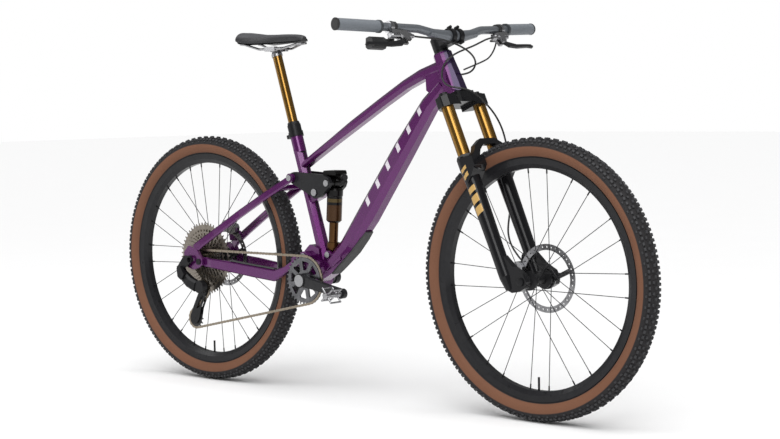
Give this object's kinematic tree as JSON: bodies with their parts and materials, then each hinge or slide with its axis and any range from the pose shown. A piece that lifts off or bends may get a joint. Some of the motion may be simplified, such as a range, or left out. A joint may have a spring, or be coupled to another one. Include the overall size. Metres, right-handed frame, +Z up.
{
  "type": "full-suspension mountain bike",
  "caption": "Full-suspension mountain bike: purple alloy-look frame, linkage rear end with upright shock, long-travel fork, knobby tyres, disc brakes and a dropper seatpost",
  "frame": {"origin": "on the ground midway between the two axles, in the bike's middle plane", "axes": "+X forward, +Y to the rider's left, +Z up; the drive side is -Y"},
  "size_m": [1.9764, 0.8116, 1.0485],
  "materials": {
    "frame_paint": "metallic purple paint, clear coated",
    "black_paint": "gloss black paint",
    "gold_tube": "bronze-gold hard coat, polished",
    "satin_black": "black anodised, satin",
    "black_carbon": "black carbon laminate",
    "silver_metal": "machined silver",
    "steel": "brushed steel",
    "disc_steel": "ground steel",
    "nickel_chain": "warm nickel plated",
    "rim_black": "black carbon rim",
    "spoke_black": "black steel wire",
    "tyre_brown": "brown sidewall under a dark knobby tread",
    "grip_rubber": "slate grey rubber",
    "guard_rubber": "dark rubber",
    "hose_black": "black hose jacket",
    "saddle_cover": "grey synthetic cover",
    "saddle_shell": "black moulded shell",
    "rail_metal": "dark metal rails and clamp",
    "seal_rubber": "black seal",
    "pod_plastic": "black composite"
  },
  "bodies": {
    "front_frame": {"front_frame": "frame_paint", "frame_bearings": "satin_black", "frame_guards": "guard_rubber", "seat_clamp": "satin_black", "dropper_outer": "satin_black", "frame_pivot_bolts": "steel", "chain": "nickel_chain", "frame_hoses": "hose_black"},
    "steering": {"fork_crown": "black_paint", "stanchions": "gold_tube", "steering_caps": "satin_black", "stem": "satin_black", "stem_faceplate": "satin_black", "handlebar": "satin_black", "grips": "grip_rubber", "brake_masters": "silver_metal", "bar_remotes": "pod_plastic", "front_brake_hose": "hose_black"},
    "brake_lever_left": {"brake_lever_left": "satin_black"},
    "brake_lever_right": {"brake_lever_right": "satin_black"},
    "shift_paddle": {"shift_paddle": "pod_plastic"},
    "dropper_paddle": {"dropper_paddle": "satin_black"},
    "fork_lowers": {"fork_lowers": "black_paint", "fork_wipers": "seal_rubber", "front_axle": "satin_black", "front_caliper": "silver_metal"},
    "front_wheel": {"front_hub": "satin_black", "front_spokes": "spoke_black", "front_rim": "rim_black", "front_tyre": "tyre_brown", "front_rotor": "disc_steel"},
    "chainstay": {"chainstay": "frame_paint", "chainstay_guard": "guard_rubber"},
    "seatstay": {"seatstay": "frame_paint", "rear_axle": "satin_black", "rear_caliper": "silver_metal", "derailleur_body": "satin_black"},
    "rocker": {"rocker": "black_carbon", "rocker_bolts": "steel"},
    "shock_shaft": {"shock_shaft": "gold_tube"},
    "shock_can": {"shock_can": "satin_black"},
    "shock_lever": {"shock_lever": "satin_black"},
    "rear_wheel": {"rear_hub": "satin_black", "rear_spokes": "spoke_black", "rear_rim": "rim_black", "rear_tyre": "tyre_brown", "rear_rotor": "disc_steel"},
    "cassette": {"cassette": "nickel_chain"},
    "crank": {"crank_arms": "black_carbon", "crank_axles": "steel", "chainring": "silver_metal"},
    "pedal_right": {"pedal_right": "silver_metal"},
    "pedal_left": {"pedal_left": "silver_metal"},
    "derailleur_cage": {"derailleur_cage": "satin_black"},
    "guide_pulley": {"guide_pulley": "pod_plastic"},
    "tension_pulley": {"tension_pulley": "pod_plastic"},
    "dropper": {"dropper_post": "gold_tube", "saddle_rails": "rail_metal", "saddle_base": "saddle_shell", "saddle_pad": "saddle_cover"}
  },
  "joints": [
    {"name": "chainstay_pivot", "type": "hinge", "parent": "front_frame", "child": "chainstay", "pos_m": [-0.184, 0, 0.394], "axis": [0, 1, 0], "range_deg": [0, 15], "stiffness_Nm_per_rad": 900, "deforming": ["chain"]},
    {"name": "horst_pivot", "type": "hinge", "parent": "chainstay", "child": "seatstay", "pos_m": [-0.588, 0, 0.365], "axis": [0, 1, 0], "range_deg": [-6.5, 0.5]},
    {"name": "rocker_pivot", "type": "hinge", "parent": "front_frame", "child": "rocker", "pos_m": [-0.145, 0, 0.58], "axis": [0, 1, 0], "range_deg": [0, 38]},
    {"name": "shock_pivot", "type": "hinge", "parent": "front_frame", "child": "shock_shaft", "pos_m": [-0.112, 0, 0.403], "axis": [0, 1, 0], "range_deg": [0, 4]},
    {"name": "shock_slide", "type": "slide", "parent": "shock_shaft", "child": "shock_can", "axis": [-0.0685, 0, -0.9977], "range_m": [0, 0.034]},
    {"name": "shock_lever_turn", "type": "hinge", "parent": "shock_can", "child": "shock_lever", "pos_m": [-0.0968, 0, 0.62448], "axis": [0.9977, 0, -0.0685], "range_deg": [0, 60]},
    {"name": "rear_wheel_spin", "type": "hinge", "parent": "seatstay", "child": "rear_wheel", "pos_m": [-0.618, 0, 0.37], "axis": [0, 1, 0], "continuous": true},
    {"name": "cassette_spin", "type": "hinge", "parent": "seatstay", "child": "cassette", "pos_m": [-0.618, 0, 0.37], "axis": [0, 1, 0], "continuous": true},
    {"name": "crank_spin", "type": "hinge", "parent": "front_frame", "child": "crank", "pos_m": [-0.174, 0, 0.33], "axis": [0, 1, 0], "continuous": true},
    {"name": "right_pedal_spin", "type": "hinge", "parent": "crank", "child": "pedal_right", "pos_m": [-0.00609, 0, 0.30341], "axis": [0, 1, 0], "continuous": true},
    {"name": "left_pedal_spin", "type": "hinge", "parent": "crank", "child": "pedal_left", "pos_m": [-0.34191, 0, 0.35659], "axis": [0, 1, 0], "continuous": true},
    {"name": "cage_pivot", "type": "hinge", "parent": "seatstay", "child": "derailleur_cage", "pos_m": [-0.588, 0, 0.29], "axis": [0, 1, 0], "range_deg": [-12, 20], "stiffness_Nm_per_rad": 1, "deforming": ["chain"]},
    {"name": "guide_pulley_spin", "type": "hinge", "parent": "derailleur_cage", "child": "guide_pulley", "pos_m": [-0.596, 0, 0.278], "axis": [0, 1, 0], "continuous": true},
    {"name": "tension_pulley_spin", "type": "hinge", "parent": "derailleur_cage", "child": "tension_pulley", "pos_m": [-0.632, 0, 0.19], "axis": [0, 1, 0], "continuous": true},
    {"name": "steering_turn", "type": "hinge", "parent": "front_frame", "child": "steering", "pos_m": [0.57123, 0, 0.34966], "axis": [-0.3987, 0, 0.9171], "range_deg": [-50, 50], "deforming": ["frame_hoses"]},
    {"name": "fork_slide", "type": "slide", "parent": "steering", "child": "fork_lowers", "axis": [-0.3987, 0, 0.9171], "range_m": [0, 0.13], "stiffness_N_per_m": 6000, "deforming": ["front_brake_hose"]},
    {"name": "front_wheel_spin", "type": "hinge", "parent": "fork_lowers", "child": "front_wheel", "pos_m": [0.618, 0, 0.37], "axis": [0, 1, 0], "continuous": true},
    {"name": "right_brake_pull", "type": "hinge", "parent": "steering", "child": "brake_lever_right", "pos_m": [0.35143, -0.19619, 0.99284], "axis": [-0.7586, 0.0852, -0.646], "range_deg": [0, 16], "stiffness_Nm_per_rad": 0.6, "springref_deg": -17.19},
    {"name": "left_brake_pull", "type": "hinge", "parent": "steering", "child": "brake_lever_left", "pos_m": [0.35143, 0.19619, 0.99284], "axis": [0.7586, 0.0852, 0.646], "range_deg": [0, 16], "stiffness_Nm_per_rad": 0.6, "springref_deg": -17.19},
    {"name": "shift_paddle_rock", "type": "hinge", "parent": "steering", "child": "shift_paddle", "pos_m": [0.29439, -0.26322, 0.98424], "axis": [-0.1393, -0.9897, 0.033], "range_deg": [-5, 5], "stiffness_Nm_per_rad": 0.4},
    {"name": "dropper_paddle_push", "type": "hinge", "parent": "steering", "child": "dropper_paddle", "pos_m": [0.31371, 0.21302, 0.99558], "axis": [0, 0, 1], "range_deg": [0, 15], "stiffness_Nm_per_rad": 0.4, "springref_deg": -17.19},
    {"name": "dropper_slide", "type": "slide", "parent": "front_frame", "child": "dropper", "axis": [0.2974, 0, -0.9548], "range_m": [0, 0.165]}
  ],
  "couplings": [
    {"joint": "horst_pivot", "follows": "chainstay_pivot", "ratio": -0.4055},
    {"joint": "rocker_pivot", "follows": "chainstay_pivot", "ratio": 2.4981},
    {"joint": "shock_pivot", "follows": "chainstay_pivot", "ratio": 0.2485},
    {"joint": "shock_slide", "follows": "chainstay_pivot", "m_per_rad": 0.12504},
    {"joint": "cassette_spin", "follows": "crank_spin", "ratio": 2.4286},
    {"joint": "guide_pulley_spin", "follows": "crank_spin", "ratio": -2.8333},
    {"joint": "tension_pulley_spin", "follows": "crank_spin", "ratio": 2.4286}
  ]
}
